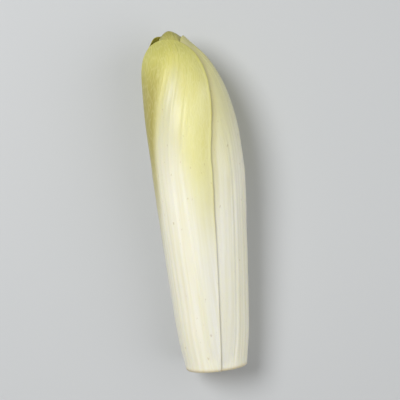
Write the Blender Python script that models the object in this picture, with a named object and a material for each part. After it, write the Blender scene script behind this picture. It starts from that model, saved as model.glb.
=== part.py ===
"""Belgian endive: one cut head lying on its side, every leaf a solid of its own.

The head is modelled upright, its cut foot at z = 0, its tip on top and its front towards -Y. The empty
head_at_rest then lays it down, tip towards +Y and front up. Lengths are millimetres until a mesh is made.

A place in the head has three numbers: theta, the angle round the axis from the front; along, the distance
down the outline from the tip; and depth, the distance under the outline towards the axis. The leaves are
stacked from the outside in. A field holds how deep the leaves outside the next one already reach.
"""

import math

import bmesh
import bpy
import numpy as np

MM = 0.001

# Outline of the head
HEAD_LENGTH = 166.0
HEAD_RADIUS = 23.0
WIDEST_AT = 95.0
CUT_RADIUS = 15.2
BODY_TAPER = 6.2
BODY_POWER = 1.15
FOOT_HEIGHT = 26.0
FOOT_POWER = 2.2
TIP_POWER = 3.0
TIP_DEPTH = 16.0
TIP_ROUNDING = 5.0
# the inner tips stand out of the rounded end in a blunt point
NIB = 4.5
NIB_RADIUS = 12.0
LOBE_DEPTH = 0.7
LOBE_FADE = 30.0
BEND = 8.0
BEND_FROM = 88.0
# the front leaf stands out a little on the left, below the tip
BULGE = 2.6
BULGE_THETA = math.radians(-80)
BULGE_WIDTH = math.radians(42)
BULGE_ALONG = 20.0
BULGE_LENGTH = 14.0

# How it lies
PITCH = math.radians(3.2)
PRESSED_FLAT = 1.7
SETTLED = 0.6

# Leaves
LEAF_COUNT = 18
OUTER_LEAVES = 6
FOOT_LEAVES = 3
MIDDLE_LEAVES = 12
FIRST_LEAF_ANGLE = -41.0
GOLDEN_ANGLE = 137.5
TOP_GAP = 0.8
FOOT_GAP = 0.45
MARGIN_THICKNESS = 0.8
THINNEST = 0.3
# at the tip, half way down and at the foot
BLADE_THICKNESS = (0.95, 1.75, 1.6)
RIB_THICKNESS = (0.25, 2.3, 2.0)
RIB_WIDTH = (3.0, 7.0, 9.0)
TIP_ZONE = 14.0
TIP_START = 0.6
TIP_ROUND = 8
SHOULDER = 0.06
RIM = 2.0
RAMP = 9.0
CROWDING = 0.65
CLOSED_TO = 0.82
CLOSING_LENGTH = 85.0
CLOSING_SOFTNESS = 0.15
# Outer leaves: turned from the spiral by, half the angle they wrap, how much less of it at the foot,
# how far the tip passes the top of the head, and how round the tip is
OUTER_SHAPES = (
    (0.0, 60.0, 0.18, -10.5, 14.5),
    (-15.5, 69.0, 0.0, -8.0, 13.5),
    (-16.5, 82.0, 0.1, -7.0, 12.5),
    (0.0, 80.0, 0.2, 1.0, 8.0),
    (0.0, 80.0, 0.2, -1.0, 7.0),
    (0.0, 80.0, 0.2, -3.5, 7.0),
)
# the first leaf's tip has turned against its foot, between these distances from the head's tip
TWIST = math.radians(29)
TWIST_ENDS = (12.0, 78.0)
INNER_HALF_ANGLES = (82.0, 90.0)
INNER_NARROWING = 0.2
INNER_THINNING = 0.58
FIRST_INNER_TIP = -6.0
INNER_TIP_STEP = 2.0
INNER_TIP_RADIUS = 6.5

# Stem core and heart
CORE_RADIUS = 9.0
CORE_STRAIGHT = 2.0
CORE_HEIGHT = 40.0
CORE_POWER = 1.15
CORE_SIDES = 32
PLATE_TOP = 3.2
CONE_START = 4.2
CONE_RINGS = 7
FIRST_INNER_FOOT = 5.0
FOOT_STEP = 2.1
HEART_FOOT = 42.0
HEART_TOP = 118.0
HEART_RADIUS = 3.6
HEART_BLUNTNESS = 0.6
HEART_ROOM = 1.4
HEART_RISE = 12.0
HEART_SIDES = 14
HEART_RINGS = 10

# Grids: the outline, the field, and each leaf's columns and rows from the outside in
OUTLINE_POINTS = 600
FIELD_ANGLES = 72
FIELD_ROWS = 110
FOOT_LEAF_GRID = (16, 15)
OUTER_LEAF_GRID = (12, 16)
MIDDLE_LEAF_GRID = (10, 12)
INNER_LEAF_GRID = (8, 11)
HALVINGS = 50
SHARP_EDGE = math.radians(50)


def smooth_min(a, b, width):
    return -width * np.logaddexp(-a / width, -b / width)


def blend(pair, share):
    return pair[0] + (pair[1] - pair[0]) * share


def down_the_leaf(values, share):
    """Value between those at the tip, half way and the foot."""
    return np.interp(share, (0.0, 0.5, 1.0), values)


def smooth_step(x):
    x = np.clip(x, 0.0, 1.0)
    return x * x * (3.0 - 2.0 * x)


def make_outline():
    """Distance along the outline from the tip, radius and height, at equal steps down the head."""
    turn = np.linspace(0.0, math.pi / 2, OUTLINE_POINTS // 2)
    tip_radius = HEAD_RADIUS * np.sin(turn)
    tip_height = WIDEST_AT + (HEAD_LENGTH - NIB - WIDEST_AT) * np.cos(turn) ** (2.0 / TIP_POWER)
    tip_height = tip_height + NIB * (1.0 - smooth_step(tip_radius / NIB_RADIUS))
    height = np.linspace(WIDEST_AT, 0.0, OUTLINE_POINTS // 2)[1:]
    radius = HEAD_RADIUS - BODY_TAPER * (1.0 - height / WIDEST_AT) ** BODY_POWER
    foot = np.clip(1.0 - height / FOOT_HEIGHT, 0.0, 1.0) ** FOOT_POWER
    radius = radius - (HEAD_RADIUS - BODY_TAPER - CUT_RADIUS) * foot
    height = np.concatenate([tip_height, height])
    radius = np.concatenate([tip_radius, radius])
    steps = np.hypot(np.diff(height), np.diff(radius))
    along = np.concatenate([[0.0], np.cumsum(steps)])
    even = np.linspace(0.0, along[-1], OUTLINE_POINTS)
    return even, np.interp(even, along, radius), np.interp(even, along, height)


ALONG, RADIUS, HEIGHT = make_outline()
FULL_LENGTH = ALONG[-1]


def outline(along):
    """Radius and height of the outline, and the start height and length of the ray to it from the axis."""
    radius = np.interp(along, ALONG, RADIUS)
    height = np.interp(along, ALONG, HEIGHT)
    centre = smooth_min(HEAD_LENGTH - TIP_DEPTH, height, TIP_ROUNDING)
    return radius, height, centre, np.hypot(radius, height - centre)


def place(theta, along, depth):
    """Point of the upright head, as an array with x, y and z last."""
    radius, height, centre, reach = outline(along)
    share = 1.0 - depth / reach
    out = radius * share
    z = centre + (height - centre) * share
    lean = BEND * np.clip((z - BEND_FROM) / (HEAD_LENGTH - BEND_FROM), 0.0, None) ** 2
    return np.stack(np.broadcast_arrays(out * np.sin(theta) - lean, -out * np.cos(theta), z), axis=-1)


def lying_height(points):
    """Height of a point over the axis' foot once the head lies down."""
    return points[..., 2] * math.sin(PITCH) - points[..., 1] * math.cos(PITCH)


FIELD_THETA = np.linspace(0.0, 2 * math.pi, FIELD_ANGLES, endpoint=False)[:, None]
FIELD_ALONG = np.linspace(0.0, FULL_LENGTH, FIELD_ROWS)[None, :]


def first_field():
    """Depth of the first leaf's outside: three soft lobes, a bulge, and the underside pressed flat."""
    lobes = LOBE_DEPTH / 2 * (1.0 - np.cos(3.0 * (FIELD_THETA - math.radians(FIRST_LEAF_ANGLE))))
    beside = (FIELD_THETA - BULGE_THETA + math.pi) % (2 * math.pi) - math.pi
    bulge = np.exp(-((beside / BULGE_WIDTH) ** 2) - ((FIELD_ALONG - BULGE_ALONG) / BULGE_LENGTH) ** 2)
    field = lobes * smooth_step(FIELD_ALONG / LOBE_FADE) - BULGE * bulge
    surface = lying_height(place(FIELD_THETA, FIELD_ALONG, field))
    floor = surface.min() + PRESSED_FLAT
    reach = outline(FIELD_ALONG)[3]
    axis = lying_height(place(FIELD_THETA, FIELD_ALONG, reach))
    below = np.clip(floor - surface, 0.0, None)
    # only the half of the head that faces down has any below
    pressed = below / np.maximum(axis - surface, 1.0)
    return field + pressed * (reach - field), floor


def read_field(field, theta, along):
    """The field's value between its own points, bilinear and closed round the axis."""
    column = (theta / (2 * math.pi) * FIELD_ANGLES) % FIELD_ANGLES
    row = np.clip(along / FULL_LENGTH * (FIELD_ROWS - 1), 0.0, FIELD_ROWS - 1.000001)
    i = np.floor(column).astype(int) % FIELD_ANGLES
    j = np.floor(row).astype(int)
    a = column - np.floor(column)
    b = row - j
    near = field[i, j] * (1 - b) + field[i, j + 1] * b
    far = field[(i + 1) % FIELD_ANGLES, j] * (1 - b) + field[(i + 1) % FIELD_ANGLES, j + 1] * b
    return near * (1 - a) + far * a


def core_radius(height):
    rise = np.clip((height - CORE_STRAIGHT) / (CORE_HEIGHT - CORE_STRAIGHT), 0.0, 1.0)
    return CORE_RADIUS * (1.0 - rise) ** CORE_POWER


def heart_radius(along):
    """Radius kept free for the heart, over the core and under the tips."""
    height = outline(along)[1]
    up = np.clip((height - HEART_FOOT) / HEART_RISE, 0.0, 1.0)
    return HEART_ROOM * np.sqrt(up)


class Leaf:
    """One leaf: where it grows, how far it wraps and how thick it is."""

    def __init__(self, number):
        index = number - 1
        self.number = number
        self.order = index / (LEAF_COUNT - 1)
        if index < OUTER_LEAVES:
            turned, half, self.narrowing, self.past_tip, self.tip_radius = OUTER_SHAPES[index]
        else:
            turned, half, self.narrowing = 0.0, blend(INNER_HALF_ANGLES, self.order), INNER_NARROWING
            self.past_tip = FIRST_INNER_TIP - INNER_TIP_STEP * (index - OUTER_LEAVES)
            self.tip_radius = INNER_TIP_RADIUS
        self.half_angle = math.radians(half)
        self.angle = math.radians(FIRST_LEAF_ANGLE + GOLDEN_ANGLE * index + turned)
        foot = 0.0 if index < FOOT_LEAVES else FIRST_INNER_FOOT + FOOT_STEP * (index - FOOT_LEAVES)
        self.foot = float(np.interp(-foot, -HEIGHT, ALONG))
        self.twist = TWIST if number == 1 else 0.0
        self.length = self.foot + self.past_tip

    def name(self):
        if self.number <= OUTER_LEAVES:
            return f"outer_leaf_{self.number:02d}"
        if self.number <= MIDDLE_LEAVES:
            return f"middle_leaf_{self.number:02d}"
        return f"inner_leaf_{self.number:02d}"

    def grid(self):
        """Columns and rows of the leaf's faces."""
        if self.number <= FOOT_LEAVES:
            return FOOT_LEAF_GRID
        if self.number <= OUTER_LEAVES:
            return OUTER_LEAF_GRID
        return MIDDLE_LEAF_GRID if self.number <= MIDDLE_LEAVES else INNER_LEAF_GRID

    def arc(self, reach):
        """Centre and radius of the arc across the leaf, in the head's outline laid out flat round its tip."""
        centre = -np.clip(TIP_ZONE - reach, 0.0, None) ** 2 / (2 * TIP_ZONE)
        return centre, reach - centre

    def half_width(self, reach):
        """Half the leaf's angle about the arc's centre."""
        from_tip = np.maximum(reach + self.past_tip, TIP_START)
        pointed = np.sqrt(2 * self.tip_radius * from_tip) / self.round_radius(reach)
        wrap = self.half_angle * (1.0 - self.narrowing * (from_tip / self.length) ** 2)
        return smooth_min(wrap, pointed, SHOULDER)

    def round_radius(self, reach):
        """Radius that turns an angle across the leaf into a distance across it."""
        on_leaf = np.maximum(reach, TIP_START - self.past_tip)
        return np.minimum(self.arc(on_leaf)[1], outline(np.abs(on_leaf))[0] + RIM)

    def thickness(self, across, reach, room):
        """Thickness from margin to midrib; room is the depth left to the core or the heart."""
        share = np.clip((reach + self.past_tip) / self.length, 0.0, 1.0)
        scale = 1.0 - INNER_THINNING * self.order
        span = self.half_width(reach) * self.round_radius(reach)
        rib, width, blade = (down_the_leaf(v, share) for v in (RIB_THICKNESS, RIB_WIDTH, BLADE_THICKNESS))
        rib = rib * np.exp(-((across * span / width) ** 2))
        blade = blade - MARGIN_THICKNESS
        thick = MARGIN_THICKNESS + scale * (blade * np.clip(1.0 - across**2, 0.0, 1.0) + rib)
        return np.minimum(thick, np.maximum(room, THINNEST))

    def angle_at(self, along):
        """Where round the axis the leaf's middle is."""
        start, end = TWIST_ENDS
        return self.angle + self.twist * (1.0 - smooth_step((along - start) / (end - start)))

    def to_head(self, across, reach):
        """Angle and distance from the tip of a point of the leaf."""
        centre, radius = self.arc(reach)
        turn = across * self.half_width(reach)
        x = centre + radius * np.cos(turn)
        y = radius * np.sin(turn)
        along = np.hypot(x, y)
        return self.angle_at(along) + np.arctan2(y, x), along

    def from_head(self, theta, along):
        """The reverse of to_head, by halving, for the whole field."""
        turned = theta - self.angle_at(along)
        x = along * np.cos(turned)
        y = along * np.sin(turned)
        low = np.full_like(x, -3 * TIP_ZONE)
        high = np.full_like(x, FULL_LENGTH + 1.0)
        for _ in range(HALVINGS):
            middle = (low + high) / 2
            centre, radius = self.arc(middle)
            inside = np.hypot(x - centre, y) < radius
            high = np.where(inside, middle, high)
            low = np.where(inside, low, middle)
        centre = self.arc(high)[0]
        return np.arctan2(y, x - centre), high


def gap_at(along):
    return blend((TOP_GAP, FOOT_GAP), along / FULL_LENGTH)


def room_left(field_depth, along):
    """Depth between the leaves already stacked and the core or the heart."""
    height, _, reach = outline(along)[1:]
    inside = np.maximum(core_radius(height), heart_radius(along))
    return reach - field_depth - inside - gap_at(along)


def next_field(leaf, field):
    """The field once this leaf is in: its thickness and a gap, fading out beyond its margins."""
    turn, reach = leaf.from_head(FIELD_THETA, FIELD_ALONG)
    half = leaf.half_width(reach)
    across = np.minimum(np.abs(turn) / half, 1.0)
    thick = leaf.thickness(across, reach, room_left(field, FIELD_ALONG))
    beside = np.clip(np.abs(turn) - half, 0.0, None) * leaf.round_radius(reach)
    beyond = np.clip(-(reach + leaf.past_tip), 0.0, None)
    fade = smooth_step(1.0 - np.hypot(beside, beyond) / RAMP)
    stacked = field + (thick + gap_at(FIELD_ALONG)) * fade
    if leaf.number < FOOT_LEAVES:
        return bridged(stacked)
    # further in, the leaves close over the heart and leave some air between them
    closed = smooth_step((leaf.foot - FIELD_ALONG) / CLOSING_LENGTH)
    closing = CLOSED_TO * leaf.order * outline(FIELD_ALONG)[3] * closed
    return bridged(-smooth_min(-stacked, -closing, CLOSING_SOFTNESS))


def bridged(field):
    """A leaf stretches over narrow hollows: no place is shallower than the mean of those beside it."""
    for _ in range(2):
        beside = sum(np.roll(field, step, axis=0) for step in (-2, -1, 0, 1, 2)) / 5
        field = np.maximum(field, beside)
    return field


def new_material(name, colour, roughness):
    material = bpy.data.materials.new(name)
    material.use_nodes = True
    shader = material.node_tree.nodes["Principled BSDF"]
    shader.inputs["Base Color"].default_value = (*colour, 1.0)
    shader.inputs["Roughness"].default_value = roughness
    shader.inputs["Metallic"].default_value = 0.0
    return material


def new_object(name, bm, parts, parent, material):
    bmesh.ops.recalc_face_normals(bm, faces=bm.faces)
    mesh = bpy.data.meshes.new(name)
    bm.to_mesh(mesh)
    bm.free()
    mesh.materials.append(material)
    mesh.shade_smooth()
    mesh.set_sharp_from_angle(angle=SHARP_EDGE)
    part = bpy.data.objects.new(name, mesh)
    part.parent = parent
    parts.objects.link(part)
    return part


def leaf_sheet(leaf, field, columns, rows):
    """Outside and inside points of a leaf, rows from foot to tip by columns from side to side."""
    across = np.linspace(-1.0, 1.0, columns + 1)
    climb = np.linspace(1.0, 0.0, rows + 1)[:, None]
    climb = climb - CROWDING * np.sin(2 * math.pi * climb) / (2 * math.pi)
    from_tip = TIP_START + (leaf.length - TIP_START) * climb
    from_tip = from_tip - TIP_START * (1.0 - across**2) * (1.0 - climb) ** TIP_ROUND
    reach = from_tip - leaf.past_tip
    theta, along = leaf.to_head(across, reach)
    depth = read_field(field, theta, along)
    thick = leaf.thickness(across, reach, room_left(depth, along))
    return place(theta, along, depth), place(theta, along, depth + thick)


def make_leaf(leaf, field, floor, parts, parent, material):
    """A grid bent onto the leaf's outside, and extruded to its inside."""
    columns, rows = leaf.grid()
    outside, inside = leaf_sheet(leaf, field, columns, rows)
    above = lying_height(outside) - floor
    outside[..., 1] += np.where(above < SETTLED, above, 0.0) / math.cos(PITCH)
    bm = bmesh.new()
    bmesh.ops.create_grid(bm, x_segments=columns, y_segments=rows, size=1.0)
    seats = bm.verts.layers.int.new("seat")
    for vert in bm.verts:
        column = round((vert.co.x + 1) / 2 * columns)
        row = round((vert.co.y + 1) / 2 * rows)
        vert[seats] = row * (columns + 1) + column
    made = bmesh.ops.extrude_face_region(bm, geom=list(bm.faces))
    inner = {item for item in made["geom"] if isinstance(item, bmesh.types.BMVert)}
    for vert in bm.verts:
        sheet = inside if vert in inner else outside
        vert.co = sheet.reshape(-1, 3)[vert[seats]] * MM
    return new_object(leaf.name(), bm, parts, parent, material)


def make_sphere(sides, rings):
    """Sphere of radius 1, and the ring of each vertex, counted from the bottom pole."""
    bm = bmesh.new()
    bmesh.ops.create_uvsphere(bm, u_segments=sides, v_segments=rings, radius=1.0)
    ring_of = {vert: round(math.acos(np.clip(-vert.co.z, -1.0, 1.0)) / math.pi * rings) for vert in bm.verts}
    return bm, ring_of


def make_core(field, parts, parent, material):
    """Stem in the foot: a plate that fills the cut face inside the outermost leaves, and a cone on it."""
    cone = np.linspace(CONE_START, CORE_HEIGHT, CONE_RINGS)
    heights = np.concatenate([[0.0, 0.0, PLATE_TOP], cone])
    bm, ring_of = make_sphere(CORE_SIDES, len(heights) - 1)
    for vert, ring in ring_of.items():
        height = heights[ring]
        theta = math.atan2(vert.co.x, -vert.co.y)
        along = np.interp(-height, -HEIGHT, ALONG)
        reach = outline(along)[3]
        if ring == 0:
            depth = reach
        elif height <= PLATE_TOP:
            depth = read_field(field, theta, along)
        else:
            depth = reach - core_radius(height)
        vert.co = place(theta, along, depth) * MM
    return new_object("stem_core", bm, parts, parent, material)


def make_heart(field, parts, parent, material):
    """Closed bud in the space that the innermost leaves leave, from over the core to under their tips."""
    turn = np.linspace(0.0, math.pi, HEART_RINGS + 1)
    heights = HEART_FOOT + (HEART_TOP - HEART_FOOT) * (1.0 - np.cos(turn)) / 2
    along = np.interp(-heights, -HEIGHT, ALONG)
    reach = outline(along)[3]
    room = reach - read_field(field, FIELD_THETA, along[None, :]).max(axis=0)
    radius = np.minimum(HEART_RADIUS * np.clip(np.sin(turn), 0.0, 1.0) ** HEART_BLUNTNESS, room)
    bm, ring_of = make_sphere(HEART_SIDES, HEART_RINGS)
    for vert, ring in ring_of.items():
        theta = math.atan2(vert.co.x, -vert.co.y)
        vert.co = place(theta, along[ring], reach[ring] - radius[ring]) * MM
    return new_object("heart_bud", bm, parts, parent, material)


def clear_scene():
    for found in list(bpy.data.objects):
        bpy.data.objects.remove(found, do_unlink=True)


def main():
    clear_scene()
    parts = bpy.data.collections.new("belgian_endive")
    bpy.context.scene.collection.children.link(parts)
    rest = bpy.data.objects.new("head_at_rest", None)
    rest.rotation_euler = (PITCH - math.pi / 2, 0.0, 0.0)
    parts.objects.link(rest)
    outer = new_material("leaf_outer", (0.86, 0.84, 0.60), 0.38)
    inner = new_material("leaf_inner", (0.83, 0.80, 0.45), 0.42)
    flesh = new_material("core_flesh", (0.84, 0.79, 0.66), 0.55)
    field, floor = first_field()
    solids = []
    for number in range(1, LEAF_COUNT + 1):
        leaf = Leaf(number)
        skin = outer if number <= OUTER_LEAVES else inner
        solids.append(make_leaf(leaf, field, floor, parts, rest, skin))
        field = next_field(leaf, field)
        if number == FOOT_LEAVES:
            solids.append(make_core(field, parts, rest, flesh))
    solids.append(make_heart(field, parts, rest, inner))
    rest.location.z = -floor * MM
    bpy.context.view_layer.update()
    points = np.array([solid.matrix_world @ vert.co for solid in solids for vert in solid.data.vertices])
    low, high = points.min(axis=0), points.max(axis=0)
    rest.location.x -= (low[0] + high[0]) / 2
    rest.location.y -= (low[1] + high[1]) / 2


main()
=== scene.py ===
import math

import bpy
import numpy as np
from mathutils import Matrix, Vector


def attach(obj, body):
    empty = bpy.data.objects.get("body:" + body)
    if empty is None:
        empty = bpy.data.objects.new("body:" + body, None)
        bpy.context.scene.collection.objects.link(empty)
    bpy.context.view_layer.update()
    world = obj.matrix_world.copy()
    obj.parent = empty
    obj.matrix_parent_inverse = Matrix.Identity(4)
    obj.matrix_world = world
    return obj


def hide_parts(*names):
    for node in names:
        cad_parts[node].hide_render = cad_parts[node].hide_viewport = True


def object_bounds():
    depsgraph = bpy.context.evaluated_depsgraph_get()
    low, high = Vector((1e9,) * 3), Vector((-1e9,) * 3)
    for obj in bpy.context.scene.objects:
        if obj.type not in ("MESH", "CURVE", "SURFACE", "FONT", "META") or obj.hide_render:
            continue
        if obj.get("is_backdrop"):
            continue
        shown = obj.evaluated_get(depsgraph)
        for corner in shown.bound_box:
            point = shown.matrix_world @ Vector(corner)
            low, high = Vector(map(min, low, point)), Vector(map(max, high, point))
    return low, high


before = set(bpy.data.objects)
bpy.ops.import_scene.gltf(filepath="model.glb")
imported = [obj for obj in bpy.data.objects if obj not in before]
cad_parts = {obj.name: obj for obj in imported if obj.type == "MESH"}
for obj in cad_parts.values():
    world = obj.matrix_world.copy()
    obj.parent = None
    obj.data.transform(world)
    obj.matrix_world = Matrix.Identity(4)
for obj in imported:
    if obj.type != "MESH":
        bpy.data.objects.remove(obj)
cadLow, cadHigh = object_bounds()
mm = 0.001
print("frame loaded:", len(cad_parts), "nodes")


# the head's outline, in mm, upright with its foot at z = 0; it is laid down at the end
headShape = {
    "length": 165.9,
    "nib": 4.5,            # the inner tips stand out this far, in a blunt point
    "nibRadius": 12.0,
    "radius": 23.0,
    "widestAt": 95.0,
    "cutRadius": 15.2,
    "bodyTaper": 6.2,      # how much narrower the body gets towards the foot
    "bodyPower": 1.15,
    "footHeight": 26.0,    # below this it rounds in to the cut
    "footPower": 2.2,
    "tipPower": 3.0,
    "tipDepth": 16.0,      # depth at the tip goes in towards a place this far below it
    "tipRounding": 5.0,
    "lobes": 3,
    "lobeDepth": 0.7,
    "lobeFade": 30.0,
    "bulge": 2.6,          # the front leaf stands out this much on the left, below the tip
    "bulgeAt": (math.radians(-80.0), 20.0),
    "bulgeSpread": (math.radians(42.0), 14.0),
    "bend": 8.0,           # how far the tip leans to the left
    "bendFrom": 88.0,
    "pressedFlat": 1.7,    # what the floor takes off the underside
    "settled": 0.6,        # what lies nearer to the floor than this sinks to it
    "settlingSoftness": 0.3,
    "inset": -0.03,        # makes up for the relief, which only goes inwards
    "pitch": math.radians(3.2),   # the axis rises this much towards the tip, once it lies down
    "outlinePoints": 1200,
    "fieldAngles": 360,
    "fieldRows": 420,
}


def smoothMin(a, b, width):
    return -width * np.logaddexp(-a / width, -b / width)


def smoothStep(x):
    x = np.clip(x, 0.0, 1.0)
    return x * x * (3.0 - 2.0 * x)


def makeOutline(shape):
    half = shape["outlinePoints"] // 2
    turn = np.linspace(0.0, math.pi / 2, half)
    domeHeight = shape["length"] - shape["nib"] - shape["widestAt"]
    tipRadius = shape["radius"] * np.sin(turn)
    tipHeight = shape["widestAt"] + domeHeight * np.cos(turn) ** (2.0 / shape["tipPower"])
    tipHeight = tipHeight + shape["nib"] * (1.0 - smoothStep(tipRadius / shape["nibRadius"]))
    height = np.linspace(shape["widestAt"], 0.0, half)[1:]
    taper = (1.0 - height / shape["widestAt"]) ** shape["bodyPower"]
    radius = shape["radius"] - shape["bodyTaper"] * taper
    foot = np.clip(1.0 - height / shape["footHeight"], 0.0, 1.0) ** shape["footPower"]
    radius = radius - (shape["radius"] - shape["bodyTaper"] - shape["cutRadius"]) * foot
    height = np.concatenate([tipHeight, height])
    radius = np.concatenate([tipRadius, radius])
    along = np.concatenate([[0.0], np.cumsum(np.hypot(np.diff(height), np.diff(radius)))])
    even = np.linspace(0.0, along[-1], shape["outlinePoints"])
    return even, np.interp(even, along, radius), np.interp(even, along, height)


outlineAlong, outlineRadius, outlineHeight = makeOutline(headShape)
fullLength = outlineAlong[-1]


def outline(along):
    # radius and height of the outline, and the ray to it from the axis: where it starts and its length
    radius = np.interp(along, outlineAlong, outlineRadius)
    height = np.interp(along, outlineAlong, outlineHeight)
    centre = smoothMin(headShape["length"] - headShape["tipDepth"], height, headShape["tipRounding"])
    return radius, height, centre, np.hypot(radius, height - centre)


def alongAt(height):
    return np.interp(-np.asarray(height), -outlineHeight, outlineAlong)


def place(theta, along, depth):
    # theta goes round the axis from the front, along runs down the outline from the tip,
    # depth goes in from the outline
    radius, height, centre, reach = outline(along)
    share = 1.0 - depth / reach
    out = radius * share
    z = centre + (height - centre) * share
    bentPart = headShape["length"] - headShape["bendFrom"]
    bent = np.clip((z - headShape["bendFrom"]) / bentPart, 0.0, None)
    x = out * np.sin(theta) - headShape["bend"] * bent ** 2
    return np.stack(np.broadcast_arrays(x, -out * np.cos(theta), z), axis=-1)


def lyingHeight(points):
    return points[..., 2] * math.sin(headShape["pitch"]) - points[..., 1] * math.cos(headShape["pitch"])


fieldTheta = np.linspace(0.0, 2 * math.pi, headShape["fieldAngles"], endpoint=False)[:, None]
fieldAlong = np.linspace(0.0, fullLength, headShape["fieldRows"])[None, :]


def firstField():
    # depth of the outermost skin: soft lobes, a bulge, and the underside pressed flat on the floor
    lobes = 1.0 - np.cos(headShape["lobes"] * (fieldTheta - spiral["firstAngle"]))
    lobes = headShape["lobeDepth"] / 2 * lobes
    field = (headShape["inset"] + lobes) * smoothStep(fieldAlong / headShape["lobeFade"])
    bulgeTheta, bulgeAlong = headShape["bulgeAt"]
    bulgeWidth, bulgeLength = headShape["bulgeSpread"]
    beside = (fieldTheta - bulgeTheta + math.pi) % (2 * math.pi) - math.pi
    bulge = np.exp(-((beside / bulgeWidth) ** 2) - ((fieldAlong - bulgeAlong) / bulgeLength) ** 2)
    field = field - headShape["bulge"] * bulge
    surface = lyingHeight(place(fieldTheta, fieldAlong, field))
    floor = surface.min() + headShape["pressedFlat"]
    reach = outline(fieldAlong)[3]
    axis = lyingHeight(place(fieldTheta, fieldAlong, reach))
    pressed = np.clip(floor - surface, 0.0, None) / np.maximum(axis - surface, 1.0)
    return field + pressed * (reach - field), floor


def readField(field, theta, along):
    angles, rows = field.shape
    column = (theta / (2 * math.pi) * angles) % angles
    row = np.clip(along / fullLength * (rows - 1), 0.0, rows - 1.000001)   # just short of the last
    i = np.floor(column).astype(int) % angles
    j = np.floor(row).astype(int)
    a = column - np.floor(column)
    b = row - j
    near = field[i, j] * (1 - b) + field[i, j + 1] * b
    far = field[(i + 1) % angles, j] * (1 - b) + field[(i + 1) % angles, j + 1] * b
    return near * (1 - a) + far * a


# the leaves, counted from the outside in; each next one is turned by the golden angle
spiral = {
    "leafCount": 18,
    "footLeaves": 3,                  # these reach down to the cut
    "outerLeaves": 6,
    "middleLeaves": 12,               # the outer ones among them
    "firstAngle": math.radians(-41.0),
    "goldenAngle": math.radians(137.5),
    "firstInnerFoot": 5.0,            # the next one joins the stem here
    "footStep": 2.1,                  # and each after it this much higher
}

leafShape = {
    "margin": 0.25,                   # thickness of the outermost edge
    "blade": (1.25, 2.3, 2.0),        # thickness at the tip, half way and at the foot
    "rib": (0.25, 2.3, 2.0),          # how much thicker along the midrib, in the same places
    "ribWidth": (3.0, 7.0, 9.0),
    "thinnest": 0.3,                  # where there is less room than this
    "thinning": 0.5,                  # of the innermost leaf
    "leastWall": 0.02,
    "tipZone": 14.0,                  # nearer to the top, the arcs across a leaf aren't centred on it
    "tipStart": 0.12,                 # the first row of the mesh, from the very tip
    "tipClosing": 8,                  # how soon the rows after it stop bending round the tip
    "tipThickens": (16.0, 0.15),      # over this stretch, with this much of it done at the start
    "cornerSoftness": 0.06,           # where the round tip turns into the sides
    "rim": 2.0,                       # the arcs count as at most this much wider than the head
    "marginRound": 0.9,               # share of the margin's thickness that rounds off
    "ramp": 9.0,                      # beyond a margin the next leaves fall in over this distance
    "bridgeStep": 5,                  # in degrees; a hollow narrower than four steps is stretched over
    "gap": (0.4, 0.04),               # air under a leaf, at its tip and in its body
    "gapFrom": 26.0,                  # it widens from here to the tip
    "closedTo": 0.82,                 # the innermost leaf leans in by this share of the way to the axis
    "closingLength": 85.0,            # over this stretch above its foot
    "closingSoftness": 0.15,
    "strip": 5.0,                     # width of the painted shadow strip beside a covering margin
    "crowding": 1.7,                  # how much closer the mesh lines are near the margins
    "midrib": {"outer_leaf_01": (0.2, 0.03)},         # beside the middle, at the tip and lower down
    "midribMoves": (5.0, 35.0),       # from this far below the tip, over this distance
    "twist": {"outer_leaf_01": math.radians(29.0)},   # of the tip against the foot
    "twistEnds": (12.0, 78.0),
    "waviness": {"outer_leaf_01": 0.55},
    "halvings": 36,
    "seed": 100,
}

# turned from the spiral by, the angles it wraps on its left and right, how much less of them
# at the foot, how far the tip passes the top of the head, how round the tip is
leafTable = {
    "outer_leaf_01": (0.0, 60.0, 61.0, 0.18, -10.5, 14.5),
    "outer_leaf_02": (-15.5, 79.0, 69.0, 0.0, -8.0, 13.5),
    "outer_leaf_03": (-16.5, 92.0, 94.0, 0.1, -7.0, 15.5),
    "outer_leaf_04": (0.0, 80.0, 80.0, 0.2, 1.0, 8.0),
    "outer_leaf_05": (0.0, 80.0, 80.0, 0.2, -1.0, 7.0),
    "outer_leaf_06": (0.0, 80.0, 80.0, 0.2, -3.5, 7.0),
}
innerLeaf = {
    "halfAngle": (82.0, 90.0),        # for the outermost and for the innermost
    "narrowing": 0.2,
    "firstTip": -6.0,                 # how far the first of them passes the top of the head
    "tipStep": 2.0,                   # each next one ends this much lower
    "tipRadius": 6.5,
}

# low swellings and dents in a leaf's outside, in mm; all of it goes inwards
leafRelief = {
    "keel": 0.55,                     # the skin beside the midrib lies this much lower
    "keelWidth": 8.0,
    "ridges": ((1.9, 0.025), (2.9, 0.045), (4.7, 0.06)),   # spacing and height of the long ribs
    "ridgeWander": (0.5, 23.0),       # how far the ribs sway, and over what length
    "fan": (0.62, 50.0),              # near the tip the ribs close up to this share, over this length
    "swell": 0.16,
    "swellLength": 38.0,
    "swellWidth": (7.0, 4.1),         # of the wide ones, and of smaller ones among them
    "smallSwell": (0.6, 1.9),         # how much lower and how much closer together those are
    "edgeFade": 5.0,
    "footFade": (10.0, 0.2),          # out over this stretch, with this much left at the end
    "grainStep": 37.0,                # so that no two leaves have the same pattern
    "wave": ((8.5, 0.22), (14.0, 0.3), (31.0, 0.45)),      # length and depth of the margin's waves
    "waveFades": (9.0, 0.7, 45.0),    # in below the tip, out at this share of the leaf, over this length
}

# mesh lines across and along a leaf
leafGrids = {"foot": (160, 240), "outer": (110, 140), "middle": (60, 80), "inner": (44, 64)}


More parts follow.
